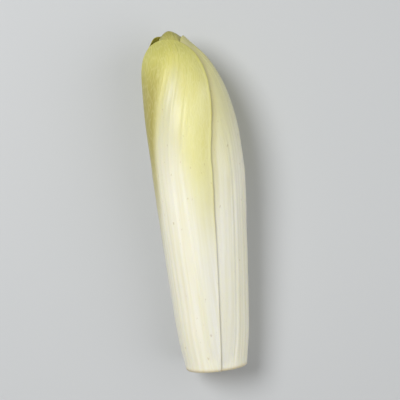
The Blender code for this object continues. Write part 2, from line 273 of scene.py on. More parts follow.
class Leaf:
    def __init__(self, number):
        index = number - 1
        self.number = number
        self.order = index / (spiral["leafCount"] - 1)
        self.isOuter = number <= spiral["outerLeaves"]
        kind = "outer" if self.isOuter else "middle" if number <= spiral["middleLeaves"] else "inner"
        self.grid = leafGrids["foot" if number <= spiral["footLeaves"] else kind]
        self.name = f"{kind}_leaf_{number:02d}"
        if self.name in leafTable:
            turned, left, right, self.narrowing, self.pastTip, self.tipRadius = leafTable[self.name]
        else:
            low, high = innerLeaf["halfAngle"]
            left = right = low + (high - low) * self.order
            turned, self.narrowing = 0.0, innerLeaf["narrowing"]
            self.pastTip = innerLeaf["firstTip"] - innerLeaf["tipStep"] * (index - spiral["outerLeaves"])
            self.tipRadius = innerLeaf["tipRadius"]
        self.wraps = math.radians(left), math.radians(right)
        self.angle = spiral["firstAngle"] + spiral["goldenAngle"] * index + math.radians(turned)
        step = index - spiral["footLeaves"]
        foot = 0.0 if step < 0 else spiral["firstInnerFoot"] + spiral["footStep"] * step
        self.foot = float(alongAt(foot))
        self.length = self.foot + self.pastTip
        self.midrib = leafShape["midrib"].get(self.name, (0.0, 0.0))
        self.twist = leafShape["twist"].get(self.name, 0.0)
        self.waviness = leafShape["waviness"].get(self.name, 1.0)
        # places in their turns: two for each of three waves, one for the ribs' sway, one for each of
        # three kinds of rib, and four for the swellings
        self.luck = np.random.default_rng(leafShape["seed"] + number).uniform(0.0, 2 * math.pi, 14)

    def arc(self, reach):
        # across a leaf runs an arc, in the outline laid out flat round its tip
        zone = leafShape["tipZone"]
        centre = -np.clip(zone - reach, 0.0, None) ** 2 / (2 * zone)
        return centre, reach - centre

    def roundRadius(self, reach):
        onLeaf = np.maximum(reach, leafShape["tipStart"] - self.pastTip)
        return np.minimum(self.arc(onLeaf)[1], outline(np.abs(onLeaf))[0] + leafShape["rim"])

    def halfWidth(self, reach, side):
        fromTip = np.maximum(reach + self.pastTip, leafShape["tipStart"])
        pointed = np.sqrt(2 * self.tipRadius * fromTip) / self.roundRadius(reach)
        wrap = np.where(side < 0, *self.wraps) * (1.0 - self.narrowing * (fromTip / self.length) ** 2)
        width = smoothMin(wrap, pointed, leafShape["cornerSoftness"])
        wave = 0.0
        for k, (length, depth) in enumerate(leafRelief["wave"]):
            phase = np.where(side < 0, self.luck[2 * k], self.luck[2 * k + 1])
            wave = wave + depth * (np.sin(2 * math.pi * fromTip / length + phase) - 1.0) / 2
        fadeIn, share, fadeOut = leafRelief["waveFades"]
        wavy = smoothStep(fromTip / fadeIn) * smoothStep((share * self.length - fromTip) / fadeOut)
        return width + self.waviness * wave * wavy / self.roundRadius(reach)

    def thickness(self, across, reach, room):
        fromTip = np.clip(reach + self.pastTip, 0.0, None)
        share = np.clip(fromTip / self.length, 0.0, 1.0)
        scale = 1.0 - leafShape["thinning"] * self.order
        stretch, done = leafShape["tipThickens"]
        scale = scale * smoothStep(done + fromTip / stretch)
        keys = ("blade", "rib", "ribWidth")
        blade, rib, width = (np.interp(share, (0.0, 0.5, 1.0), leafShape[key]) for key in keys)
        beside = across * self.halfWidth(reach, across) * self.roundRadius(reach)
        rib = rib * np.exp(-((beside / width) ** 2))
        blade = (blade - leafShape["margin"]) * np.clip(1.0 - across ** 2, 0.0, 1.0)
        thick = leafShape["margin"] + scale * (blade + rib)
        return np.minimum(thick, np.maximum(room, leafShape["thinnest"]))

    def angleAt(self, along):
        start, end = leafShape["twistEnds"]
        return self.angle + self.twist * (1.0 - smoothStep((along - start) / (end - start)))

    def toHead(self, across, reach):
        centre, radius = self.arc(reach)
        turn = across * self.halfWidth(reach, across)
        x = centre + radius * np.cos(turn)
        y = radius * np.sin(turn)
        along = np.hypot(x, y)
        return self.angleAt(along) + np.arctan2(y, x), along

    def fromHead(self, theta, along):
        # the reverse of toHead, by halving
        turned = theta - self.angleAt(along)
        x = along * np.cos(turned)
        y = along * np.sin(turned)
        low = np.full_like(x, -3 * leafShape["tipZone"])
        high = np.full_like(x, fullLength + 1.0)
        for _ in range(leafShape["halvings"]):
            middle = (low + high) / 2
            centre, radius = self.arc(middle)
            inside = np.hypot(x - centre, y) < radius
            high = np.where(inside, middle, high)
            low = np.where(inside, low, middle)
        return np.arctan2(y, x - self.arc(high)[0]), high

    def away(self, theta, along):
        # how far a place lies outside the leaf's margin, in mm
        turn, reach = self.fromHead(theta, along)
        beside = np.clip(np.abs(turn) - self.halfWidth(reach, turn), 0.0, None) * self.roundRadius(reach)
        return np.hypot(beside, np.clip(-(reach + self.pastTip), 0.0, None))


# a plate that closes the cut, and a cone above it that the leaves grow from
coreShape = {
    "radius": 9.0,
    "straight": 2.0,
    "height": 40.0,
    "power": 1.15,
    "plateTop": 3.2,
    "plateFade": 1.2,      # from the plate to the cone
    "hollow": 0.4,         # how the knife left the cut
    "sides": 128,
    "plateRings": 30,
    "wallRings": 3,
    "coneRings": 60,
}
heartShape = {
    "foot": 42.0,
    "top": 118.0,
    "radius": 3.6,
    "bluntness": 0.6,
    "room": 1.4,           # radius that the leaves leave free, from this far above its foot
    "rise": 12.0,
    "seams": 3,
    "seamHeight": 22.0,    # the smaller it is, the more they wind round the bud
    "seamDepth": 0.14,
    "grainRadius": 3.0,
    "sides": 48,
    "rings": 60,
    "stations": 400,       # where the room inside the innermost leaves is measured
}


def coreRadius(height):
    above = (height - coreShape["straight"]) / (coreShape["height"] - coreShape["straight"])
    return coreShape["radius"] * (1.0 - np.clip(above, 0.0, 1.0)) ** coreShape["power"]


def gapAt(fromTip):
    top, body = leafShape["gap"]
    return body + (top - body) * (1.0 - smoothStep(fromTip / leafShape["gapFrom"]))


def roomLeft(depth, along):
    _, height, _, reach = outline(along)
    above = (height - heartShape["foot"]) / heartShape["rise"]
    heart = heartShape["room"] * np.sqrt(np.clip(above, 0.0, 1.0))
    return reach - depth - np.maximum(coreRadius(height), heart) - leafShape["gap"][1]


def bridged(field):
    # a leaf stretches over narrow hollows
    step = leafShape["bridgeStep"] * headShape["fieldAngles"] // 360
    for _ in range(2):
        beside = sum(np.roll(field, step * k, axis=0) for k in (-2, -1, 0, 1, 2)) / 5
        field = np.maximum(field, beside)
    return field


def nextField(leaf, field):
    # how deep the head is filled once this leaf is in it
    turn, reach = leaf.fromHead(fieldTheta, fieldAlong)
    across = np.minimum(np.abs(turn) / leaf.halfWidth(reach, turn), 1.0)
    thick = leaf.thickness(across, reach, roomLeft(field, fieldAlong))
    fade = smoothStep(1.0 - leaf.away(fieldTheta, fieldAlong) / leafShape["ramp"])
    stacked = field + (thick + gapAt(reach + leaf.pastTip)) * fade
    if leaf.number < spiral["footLeaves"]:
        return bridged(stacked)
    closed = smoothStep((leaf.foot - fieldAlong) / leafShape["closingLength"])
    closing = leafShape["closedTo"] * leaf.order * outline(fieldAlong)[3] * closed
    return bridged(-smoothMin(-stacked, -closing, leafShape["closingSoftness"]))


def spread(count, ends):
    # places crowded towards the ends: from -1 to 1 for both, from 0 to 1 for the tip
    share = np.linspace(0.0, 1.0, count + 1)
    power = leafShape["crowding"]
    if ends == "both":
        share = 2 * share - 1
        return np.sign(share) * (1.0 - (1.0 - np.abs(share)) ** power)
    return 1.0 - (1.0 - share) ** power


def leafSurface(leaf, field):
    # outside and inside of a leaf, and what its skin needs to know about each place
    columns, rows = leaf.grid
    across = spread(columns, "both")
    climb = 1.0 - spread(rows, "tip")[:, None]
    start = leafShape["tipStart"]
    fromTip = start + (leaf.length - start) * climb
    # the first rows bend round the tip
    fromTip = fromTip - start * (1.0 - across ** 2) * (1.0 - climb) ** leafShape["tipClosing"]
    reach = fromTip - leaf.pastTip
    theta, along = leaf.toHead(across, reach)
    depth = readField(field, theta, along)
    thick = leaf.thickness(across, reach, roomLeft(depth, along))

    span = leaf.halfWidth(reach, across) * leaf.roundRadius(reach)
    slope = np.gradient(span, axis=0) / np.minimum(np.gradient(fromTip, axis=0), -1e-6)
    edge = (1.0 - np.abs(across)) * span / np.sqrt(1.0 + slope ** 2)
    edge = np.minimum(edge, fromTip)

    # the midrib may lie beside the leaf's middle; side is 0 on it and 1 or -1 at the margins
    movesFrom, movesOver = leafShape["midribMoves"]
    moved = smoothStep((fromTip - movesFrom) / movesOver)
    midrib = leaf.midrib[0] + (leaf.midrib[1] - leaf.midrib[0]) * moved
    side = (across - midrib) / np.where(across > midrib, 1.0 - midrib, 1.0 + midrib)

    # the ribs fan out from the foot, and towards the tip they run out into the margins
    widest = span.max()
    closedUp, fanLength = leafRelief["fan"]
    opened = closedUp + (1.0 - closedUp) * np.clip(fromTip / fanLength, 0.0, 1.0)
    fan = (across - midrib) * span * widest / np.maximum(span, widest * opened)

    sway, swayLength = leafRelief["ridgeWander"]
    wander = sway * np.sin(fromTip / swayLength + leaf.luck[6])
    ridges = 0.0
    for k, (spacing, height) in enumerate(leafRelief["ridges"]):
        turns = (fan + wander) / spacing
        ridges = ridges + height * (1.0 + np.sin(2 * math.pi * turns + leaf.luck[7 + k]))
    keel = leafRelief["keel"] * (1.0 - np.exp(-((fan / leafRelief["keelWidth"]) ** 2)))

    turns = fromTip / leafRelief["swellLength"]
    wide, narrow = (fan / width for width in leafRelief["swellWidth"])
    lower, closer = leafRelief["smallSwell"]
    swell = np.sin(2 * math.pi * turns + leaf.luck[10]) * np.sin(wide + leaf.luck[11] + turns)
    small = np.sin(2 * math.pi * closer * turns + leaf.luck[12]) * np.sin(narrow + leaf.luck[13])
    swell = leafRelief["swell"] * (swell + lower * small + 1.0 + lower) / 2

    footFade, footShare = leafRelief["footFade"]
    calm = smoothStep(edge / leafRelief["edgeFade"])
    calm = calm * smoothStep((leaf.length - fromTip) / footFade + footShare)
    relief = np.minimum((ridges + keel + swell) * calm, thick / 2)

    # the margin is round: both sides close on its middle
    half = leafShape["margin"] / 2
    outwards = 1.0 - np.clip(edge / half, 0.0, 1.0)
    drop = leafShape["marginRound"] * half * (1.0 - np.sqrt(1.0 - outwards ** 2))
    top = depth + relief + drop
    outside = place(theta, along, top)
    inside = place(theta, along, np.maximum(depth + thick - drop, top + leafShape["leastWall"]))
    ownGrain = np.full_like(fan, leaf.number * leafRelief["grainStep"])
    grain = np.stack([fan, fromTip, ownGrain], axis=-1)
    skin = np.stack([side, leaf.length - fromTip, edge], axis=-1)
    # the second and third leaf get a strip of painted shadow beside the margins that cover them
    strip = np.zeros_like(fan)
    covers = leaves[:leaf.number - 1] if leaf.number <= spiral["footLeaves"] else []
    for cover in covers:
        strip = np.maximum(strip, 1.0 - cover.away(theta, along) / leafShape["strip"])
    return outside, inside, grain, skin, np.stack([strip] * 3, axis=-1)


# all surfaces first, because the head is laid by its whole box
field, floorDepth = firstField()
leaves = [Leaf(number) for number in range(1, spiral["leafCount"] + 1)]
surfaces = {}
for leaf in leaves:
    outside, inside, grain, skin, strip = leafSurface(leaf, field)
    # what is nearly on the floor settles on it
    above = lyingHeight(outside) - floorDepth
    settles = smoothStep((headShape["settled"] - above) / headShape["settlingSoftness"])
    outside[..., 1] += np.where(above < 0.0, above, above * settles) / math.cos(headShape["pitch"])
    surfaces[leaf.name] = (outside, inside, grain, skin, strip)
    field = nextField(leaf, field)
    if leaf.number == spiral["footLeaves"]:
        footField = field
print("leaf surfaces worked out:", len(surfaces))


def lay(points):
    # upright mm to lying metres, tip towards +Y
    rise, run = math.sin(headShape["pitch"]), math.cos(headShape["pitch"])
    x, y, z = points[..., 0], points[..., 1], points[..., 2]
    return np.stack([x, y * rise + z * run, z * rise - y * run], axis=-1) * mm + restAt


restAt = np.zeros(3)
allPoints = np.concatenate([lay(parts[0]).reshape(-1, 3) for parts in surfaces.values()])
low, high = allPoints.min(axis=0), allPoints.max(axis=0)
restAt = np.array([
    (cadLow.x + cadHigh.x - low[0] - high[0]) / 2,
    (cadLow.y + cadHigh.y - low[1] - high[1]) / 2,
    cadLow.z - low[2],
])
print("head laid at", np.round(restAt / mm, 2))


# materials: colours are sRGB, and one function turns them to linear
def toLinear(code):
    parts = [int(code[k:k + 2], 16) / 255 for k in (1, 3, 5)]
    return tuple(p / 12.92 if p <= 0.04045 else ((p + 0.055) / 1.055) ** 2.4 for p in parts) + (1.0,)


def addNode(tree, kind, inputs, **settings):
    # inputs maps a socket's name or number to a value, to the output that feeds it,
    # or to a node that feeds it with its first output
    node = tree.nodes.new(kind)
    for key, value in settings.items():
        setattr(node, key, value)
    for key, value in inputs.items():
        if isinstance(value, bpy.types.Node):
            value = value.outputs[0]
        if isinstance(value, bpy.types.NodeSocket):
            tree.links.new(value, node.inputs[key])
        else:
            node.inputs[key].default_value = value
    return node


def setRamp(node, stops):
    ramp = node.color_ramp
    while len(ramp.elements) < len(stops):
        ramp.elements.new(0.5)
    for element, (position, colour) in zip(ramp.elements, stops):
        element.position = position
        element.color = colour


def newMaterial(name, values):
    material = bpy.data.materials.new(name)
    material.use_nodes = True
    shader = material.node_tree.nodes["Principled BSDF"]
    for socket, value in values.items():
        shader.inputs[socket].default_value = value
    return material, material.node_tree, shader


leafTones = {
    "flesh": "#F4F1DF",        # thick white tissue of the foot and midrib
    "fleshShade": "#EDE9CE",   # between its long ribs, where light goes deeper in
    # pale yellow of the thin midrib near the tip, darkened as painted shade
    "thinRib": "#D4D1A8",
    "yellow": "#E8E29A",
    "yellowDeep": "#DDD582",
    "tip": "#CBC76C",
    "shaded": "#AA9F4A",       # olive yellow with painted shade, on the side that lay in its neighbour's shadow
    "margin": "#C6C566",
    # painted shadow, in a strip beside a covering margin
    "dulled": "#CFC68F",
    "vein": "#F2ECB6",
    "russet": "#A88A4E",
    "cutBrown": "#D6BE8C",
}

# how yellow a blade is left and right of its midrib, how far down from the tip, in mm,
# how much painted shade in olive yellow its left side takes, and the darker tone of its very tip, partly
# painted shade, with the reach of that
leafLooks = {
    "waxedLeafFront": {"yellow": (1.0, 0.95), "reach": 118.0, "olive": 0.95, "tipEnd": ("#B9B45A", 11.0)},
    "waxedLeafSide": {"yellow": (0.42, 0.9), "reach": 105.0, "olive": 0.0, "tipEnd": ("#B3AB4C", 11.0)},
    "waxedLeafBack": {"yellow": (0.95, 0.95), "reach": 95.0, "olive": 0.0, "tipEnd": ("#B3AB4C", 11.0)},
    "waxedLeafInner": {"yellow": (1.0, 1.0), "reach": 88.0, "olive": 0.0, "tipEnd": ("#8F8934", 25.0)},
}

# share of the yellow's reach, and how far from the midrib it starts there
whiteWedge = ((0.0, -0.4), (0.09, -0.1), (0.16, 0.1), (0.3, 0.22), (0.5, 0.36), (0.72, 0.5), (1.0, 0.76))

# spacing across and length along the leaf, in mm, and the noise's detail and roughness
skinPatterns = {
    "ribs": (1.8, 55.0, 2.0, 0.45),
    "streaks": (0.55, 16.0, 3.0, 0.55),
    "clouds": (9.0, 26.0, 2.0, 0.5),
}

waxedSkin = {
    "IOR": 1.42,
    "Subsurface Weight": 0.28,
    "Subsurface Radius": (1.0, 0.85, 0.35),
    "Subsurface Scale": 0.0028,
    "Coat Weight": 0.08,
    "Coat Roughness": 0.22,
}


def leafSkin(name):
    # Fresh leaf skin, grown in the dark: smooth wax over wet white tissue. The wax gives a soft satin
    # gloss, the tissue lets light in a few mm, and the thin blade turns yellow where it saw light.
    look = leafLooks[name]
    tone = {part: toLinear(code) for part, code in leafTones.items()}
    material, tree, shader = newMaterial(name, waxedSkin)
    grain = addNode(tree, "ShaderNodeAttribute", {}, attribute_name="leafGrain").outputs["Vector"]
    skin = addNode(tree, "ShaderNodeAttribute", {}, attribute_name="leafSkin").outputs["Vector"]
    strip = addNode(tree, "ShaderNodeAttribute", {}, attribute_name="leafStrip").outputs["Fac"]
    objectAt = addNode(tree, "ShaderNodeTexCoord", {}).outputs["Object"]
    fromTip = addNode(tree, "ShaderNodeSeparateXYZ", {0: grain}).outputs["Y"]
    sideways, fromFoot, edge = addNode(tree, "ShaderNodeSeparateXYZ", {0: skin}).outputs

    patterns = []
    for spacing, length, detail, roughness in skinPatterns.values():
        placed = addNode(tree, "ShaderNodeMapping", {
            "Vector": grain, "Scale": (1 / spacing, 1 / length, 1.0),
        })
        patterns.append(addNode(tree, "ShaderNodeTexNoise", {
            "Vector": placed, "Scale": 1.0, "Detail": detail, "Roughness": roughness,
        }))
    ribs, streaks, clouds = patterns

    # the white wedge: how far from the midrib the yellow starts, going down the leaf; the left side
    # counts as a little further out, and the streaks fray the start
    down = addNode(tree, "ShaderNodeMath", {0: fromTip, 1: look["reach"]}, operation="DIVIDE")
    wedge = addNode(tree, "ShaderNodeValToRGB", {"Fac": down})
    setRamp(wedge, [(share, (0.5 + start,) * 3 + (1.0,)) for share, start in whiteWedge])
    leftSide = addNode(tree, "ShaderNodeMath", {0: sideways, 1: -1.2}, operation="MULTIPLY")
    side = addNode(tree, "ShaderNodeMath", {0: sideways, 1: leftSide}, operation="MAXIMUM")
    frayed = addNode(tree, "ShaderNodeMath", {0: streaks, 1: -0.5}, operation="ADD")
    frayedSide = addNode(tree, "ShaderNodeMath", {0: frayed, 1: 0.2, 2: side}, operation="MULTIPLY_ADD")
    wedgeLow = addNode(tree, "ShaderNodeMath", {0: wedge, 1: -0.72}, operation="ADD")
    wedgeHigh = addNode(tree, "ShaderNodeMath", {0: wedge, 1: -0.24}, operation="ADD")
    inBlade = addNode(tree, "ShaderNodeMapRange", {
        "Value": frayedSide, "From Min": wedgeLow, "From Max": wedgeHigh,
    }, interpolation_type="SMOOTHSTEP")
    yellowHere = addNode(tree, "ShaderNodeMapRange", {
        "Value": sideways, "From Min": -0.25, "From Max": 0.25,
        "To Min": look["yellow"][0], "To Max": look["yellow"][1],
    }, interpolation_type="SMOOTHSTEP")
    fading = addNode(tree, "ShaderNodeMapRange", {
        "Value": down, "From Min": 1.02, "From Max": 0.42, "To Max": yellowHere,
    }, interpolation_type="SMOOTHSTEP")
    yellowness = addNode(tree, "ShaderNodeMath", {0: inBlade, 1: fading}, operation="MULTIPLY")

    betweenRibs = addNode(tree, "ShaderNodeMapRange", {"Value": ribs, "From Min": 0.35, "From Max": 0.7})
    ribbed = addNode(tree, "ShaderNodeMixRGB", {
        "Fac": betweenRibs, "Color1": tone["flesh"], "Color2": tone["fleshShade"],
    })
    # near the tip the midrib is thin and pale yellow, and darker there as painted shade too
    thinRib = addNode(tree, "ShaderNodeMapRange", {
        "Value": down, "From Min": 0.7, "From Max": 0.25, "To Max": 0.95,
    }, interpolation_type="SMOOTHSTEP")
    fleshTone = addNode(tree, "ShaderNodeMixRGB", {
        "Fac": thinRib, "Color1": ribbed, "Color2": tone["thinRib"],
    })
    inCloud = addNode(tree, "ShaderNodeMapRange", {"Value": clouds, "From Min": 0.35, "From Max": 0.7})
    yellowTone = addNode(tree, "ShaderNodeMixRGB", {
        "Fac": inCloud, "Color1": tone["yellow"], "Color2": tone["yellowDeep"],
    })
    # painted shade on the left side: olive yellow, where the leaf lay in its neighbour's shadow
    olive = addNode(tree, "ShaderNodeMapRange", {
        "Value": sideways, "From Min": -0.12, "From Max": -0.5, "To Max": look["olive"],
    }, interpolation_type="SMOOTHSTEP")
    bladeTone = addNode(tree, "ShaderNodeMixRGB", {
        "Fac": olive, "Color1": yellowTone, "Color2": tone["shaded"],
    })
    blade = addNode(tree, "ShaderNodeMixRGB", {
        "Fac": yellowness, "Color1": fleshTone, "Color2": bladeTone,
    })

    # greener at the very tip, with painted shade darkening its very end, and in a narrow line along the
    # margin
    tipHere = addNode(tree, "ShaderNodeMapRange", {
        "Value": fromTip, "From Min": 33.0, "From Max": 2.0, "To Max": yellowHere,
    }, interpolation_type="SMOOTHSTEP")
    # the very end of the tip is darker: painted shade over its own greener tone
    tipEnd, tipShadeReach = look["tipEnd"]
    tipShadeHere = addNode(tree, "ShaderNodeMapRange", {
        "Value": fromTip, "From Min": tipShadeReach, "From Max": 0.0,
    })
    tipAndShadeTone = addNode(tree, "ShaderNodeMixRGB", {
        "Fac": tipShadeHere, "Color1": tone["tip"], "Color2": toLinear(tipEnd),
    })
    marginLine = addNode(tree, "ShaderNodeMapRange", {
        "Value": edge, "From Min": 1.2, "From Max": 0.2, "To Max": 0.4,
    }, interpolation_type="SMOOTHSTEP")
    marginFade = addNode(tree, "ShaderNodeMapRange", {
        "Value": down, "From Min": 1.25, "From Max": 0.35, "To Max": yellowHere,
    })
    marginHere = addNode(tree, "ShaderNodeMath", {0: marginLine, 1: marginFade}, operation="MULTIPLY")

    # painted shadow beside the leaf that covers it, more so higher up
    shadowLine = addNode(tree, "ShaderNodeMapRange", {
        "Value": strip, "From Min": 0.0, "From Max": 0.6, "To Max": 0.75,
    }, interpolation_type="SMOOTHSTEP")
    shadowFade = addNode(tree, "ShaderNodeMapRange", {
        "Value": down, "From Min": 0.98, "From Max": 0.5,
    }, interpolation_type="SMOOTHSTEP")
    shadowHere = addNode(tree, "ShaderNodeMath", {0: shadowLine, 1: shadowFade}, operation="MULTIPLY")

    # a net of veins, its meshes 1.2 by 5.5 mm, paler than the blade
    netPlace = addNode(tree, "ShaderNodeMapping", {"Vector": grain, "Scale": (1 / 1.2, 1 / 5.5, 1.0)})
    netBend = addNode(tree, "ShaderNodeMixRGB", {
        "Fac": 0.12, "Color1": netPlace, "Color2": clouds.outputs["Color"],
    }, blend_type="ADD")
    net = addNode(tree, "ShaderNodeTexVoronoi", {
        "Vector": netBend, "Scale": 1.0,
    }, feature="DISTANCE_TO_EDGE")
    veinLine = addNode(tree, "ShaderNodeMapRange", {
        "Value": net.outputs["Distance"], "From Min": 0.16, "From Max": 0.0,
    })
    veins = addNode(tree, "ShaderNodeMath", {0: veinLine, 1: yellowness}, operation="MULTIPLY")
    veinHere = addNode(tree, "ShaderNodeMath", {0: veins, 1: 0.22}, operation="MULTIPLY")

    # bruised specks, about 1.4 by 2.9 mm, and a margin that dried here and there
    speckPlace = addNode(tree, "ShaderNodeMapping", {"Vector": objectAt, "Scale": (700.0, 350.0, 700.0)})
    specks = addNode(tree, "ShaderNodeTexNoise", {"Vector": speckPlace, "Scale": 1.0, "Detail": 1.0})
    speckHere = addNode(tree, "ShaderNodeMapRange", {
        "Value": specks, "From Min": 0.73, "From Max": 0.8, "To Max": 0.3,
    })
    dryLine = addNode(tree, "ShaderNodeMapRange", {"Value": edge, "From Min": 0.45, "From Max": 0.1})
    dryPatch = addNode(tree, "ShaderNodeMapRange", {
        "Value": clouds, "From Min": 0.5, "From Max": 0.66, "To Max": 0.5,
    })
    dryHere = addNode(tree, "ShaderNodeMath", {0: dryLine, 1: dryPatch}, operation="MULTIPLY")
    # the cut at the foot has browned a little
    cutHere = addNode(tree, "ShaderNodeMapRange", {
        "Value": fromFoot, "From Min": 2.2, "From Max": 0.0, "To Max": 0.55,
    }, interpolation_type="SMOOTHSTEP")

    # each of these lies on the ones before it
    layers = [
        (tipHere, tipAndShadeTone), (marginHere, tone["margin"]), (shadowHere, tone["dulled"]),
        (veinHere, tone["vein"]), (speckHere, tone["russet"]), (dryHere, tone["russet"]),
        (cutHere, tone["cutBrown"]),
    ]
    colour = blade
    for amount, layerTone in layers:
        colour = addNode(tree, "ShaderNodeMixRGB", {"Fac": amount, "Color1": colour, "Color2": layerTone})
    tree.links.new(colour.outputs[0], shader.inputs["Base Color"])
    gloss = addNode(tree, "ShaderNodeMapRange", {
        "Value": clouds, "From Min": 0.3, "From Max": 0.7, "To Min": 0.38, "To Max": 0.52,
    })
    tree.links.new(gloss.outputs[0], shader.inputs["Roughness"])

    # relief too fine for the mesh; the cells of the skin are 0.4 mm wide here, coarser than real
    # ones, so that they show
    cellPlace = addNode(tree, "ShaderNodeMapping", {"Vector": objectAt, "Scale": (2600.0, 2600.0, 2600.0)})
    cells = addNode(tree, "ShaderNodeTexNoise", {"Vector": cellPlace, "Scale": 1.0, "Detail": 0.0})
    reliefs = (ribs, 0.35, 0.16), (streaks, 0.25, 0.06), (veins, 0.3, 0.12), (cells, 0.12, 0.05)
    below = {}
    for height, strength, depth in reliefs:
        bump = addNode(tree, "ShaderNodeBump", {
            "Height": height, "Strength": strength, "Distance": depth * mm, **below,
        })
        below = {"Normal": bump}
    tree.links.new(bump.outputs[0], shader.inputs["Normal"])
    return material


fleshTones = {
    "rings": (             # by their share of 16 mm, from the middle outwards
        (0.0, "#F3EEDB"), (0.34, "#F5F1E1"), (0.5, "#E2D3A8"),
        (0.58, "#F2ECD8"), (0.82, "#EFE6CB"), (0.97, "#D8C396"),
    ),
    "fibres": "#D9C795",
    "stain": "#D0AC72",
}


def cutFlesh():
    # Cut stem of a leaf head: wet, fibrous white pith with a ring of bundles, browned by air at the cut.
    material, tree, shader = newMaterial("cutStemFlesh", {
        "Subsurface Weight": 0.2, "Subsurface Radius": (1.0, 0.8, 0.4), "Subsurface Scale": 0.002,
    })
    coreAt = addNode(tree, "ShaderNodeAttribute", {}, attribute_name="coreAt").outputs["Vector"]
    x, y, _ = addNode(tree, "ShaderNodeSeparateXYZ", {0: coreAt}).outputs
    flat = addNode(tree, "ShaderNodeCombineXYZ", {"X": x, "Y": y})
    wobble = addNode(tree, "ShaderNodeTexNoise", {"Vector": flat, "Scale": 0.22, "Detail": 3.0})
    radius = addNode(tree, "ShaderNodeVectorMath", {0: flat}, operation="LENGTH").outputs["Value"]
    wobbled = addNode(tree, "ShaderNodeMath", {0: wobble, 1: 4.0, 2: radius}, operation="MULTIPLY_ADD")
    outwards = addNode(tree, "ShaderNodeMapRange", {"Value": wobbled, "From Min": 0.0, "From Max": 16.0})
    rings = addNode(tree, "ShaderNodeValToRGB", {"Fac": outwards})
    setRamp(rings, [(share, toLinear(code)) for share, code in fleshTones["rings"]])
    fibres = addNode(tree, "ShaderNodeTexVoronoi", {
        "Vector": flat, "Scale": 1.1,
    }, feature="DISTANCE_TO_EDGE").outputs["Distance"]
    fibreDots = addNode(tree, "ShaderNodeMapRange", {
        "Value": fibres, "From Min": 0.0, "From Max": 0.35, "To Min": 0.35, "To Max": 0.0,
    })
    fibred = addNode(tree, "ShaderNodeMixRGB", {
        "Fac": fibreDots, "Color1": rings, "Color2": toLinear(fleshTones["fibres"]),
    })
    stain = addNode(tree, "ShaderNodeTexNoise", {
        "Vector": flat, "Scale": 0.16, "Detail": 4.0, "Roughness": 0.6,
    })
    stainHere = addNode(tree, "ShaderNodeMapRange", {
        "Value": stain, "From Min": 0.5, "From Max": 0.75, "To Max": 0.55,
    })
    stained = addNode(tree, "ShaderNodeMixRGB", {
        "Fac": stainHere, "Color1": fibred, "Color2": toLinear(fleshTones["stain"]),
    })
    tree.links.new(stained.outputs[0], shader.inputs["Base Color"])
    fine = addNode(tree, "ShaderNodeTexNoise", {
        "Vector": coreAt, "Scale": 2.5, "Detail": 4.0, "Roughness": 0.65,
    })
    fineBump = addNode(tree, "ShaderNodeBump", {"Height": fine, "Strength": 0.6, "Distance": 0.3 * mm})
    fibreBump = addNode(tree, "ShaderNodeBump", {
        "Height": fibres, "Strength": 0.4, "Distance": 0.4 * mm, "Normal": fineBump,
    })
    tree.links.new(fibreBump.outputs[0], shader.inputs["Normal"])
    rough = addNode(tree, "ShaderNodeMapRange", {"Value": fine, "To Min": 0.42, "To Max": 0.7})
    tree.links.new(rough.outputs[0], shader.inputs["Roughness"])
    return material


skins = {name: leafSkin(name) for name in leafLooks}
stemFlesh = cutFlesh()
print("materials made:", len(skins) + 1)


# the pieces: each is a primitive whose points are moved to where they belong
def finishPiece(piece, node, material):
    piece.data.materials.clear()
    piece.data.materials.append(material)
    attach(piece, "root")
    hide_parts(node)


def readPoints(mesh):
    points = np.zeros(len(mesh.vertices) * 3)
    mesh.vertices.foreach_get("co", points)
    return points.reshape(-1, 3)


def shapeMesh(mesh, upright, **vectors):
    # moves the points, and keeps with each of them what the material reads
    mesh.vertices.foreach_set("co", lay(upright).reshape(-1))
    for name, values in vectors.items():
        attribute = mesh.attributes.new(name, "FLOAT_VECTOR", "POINT")
        attribute.data.foreach_set("vector", values.reshape(-1).astype(np.float32))
    mesh.update()


def makeLeaf(leaf):
    # a flat grid, given a second side, then bent to the leaf
    columns, rows = leaf.grid
    bpy.ops.object.select_all(action="DESELECT")
    bpy.ops.mesh.primitive_grid_add(x_subdivisions=columns, y_subdivisions=rows, size=2.0)
    piece = bpy.context.object
    piece.name = "leaf" + leaf.name.title().replace("_", "").replace("Leaf", "")
    wallDepth = 0.1
    wall = piece.modifiers.new("wall", "SOLIDIFY")
    wall.thickness = wallDepth
    wall.offset = -1.0
    bpy.ops.object.modifier_apply(modifier=wall.name)
    flat = readPoints(piece.data)
    column = np.rint((flat[:, 0] + 1) / 2 * columns).astype(int)
    row = np.rint((flat[:, 1] + 1) / 2 * rows).astype(int)
    isInside = flat[:, 2] < -wallDepth / 2
    outside, inside, grain, skin, strip = (surface[row, column] for surface in surfaces[leaf.name])
    upright = np.where(isInside[:, None], inside, outside)
    shapeMesh(piece.data, upright, leafGrain=grain, leafSkin=skin, leafStrip=strip)
    bpy.ops.object.shade_smooth()
    return piece


ownSkins = {
    "outer_leaf_01": "waxedLeafFront",
    "outer_leaf_02": "waxedLeafSide",
    "outer_leaf_03": "waxedLeafBack",
}
for leaf in leaves:
    skin = skins[ownSkins.get(leaf.name, "waxedLeafInner")]
    finishPiece(makeLeaf(leaf), leaf.name, skin)
print("leaves made:", len(leaves))


def startBall(name, sides, rings):
    # a ball to be shaped, with each point's angle round the axis and its angle up from the lower pole
    bpy.ops.object.select_all(action="DESELECT")
    bpy.ops.mesh.primitive_uv_sphere_add(segments=sides, ring_count=rings, radius=1.0)
    piece = bpy.context.object
    piece.name = name
    ball = readPoints(piece.data)
    return piece, np.arctan2(ball[:, 0], -ball[:, 1]), np.arccos(np.clip(-ball[:, 2], -1.0, 1.0))


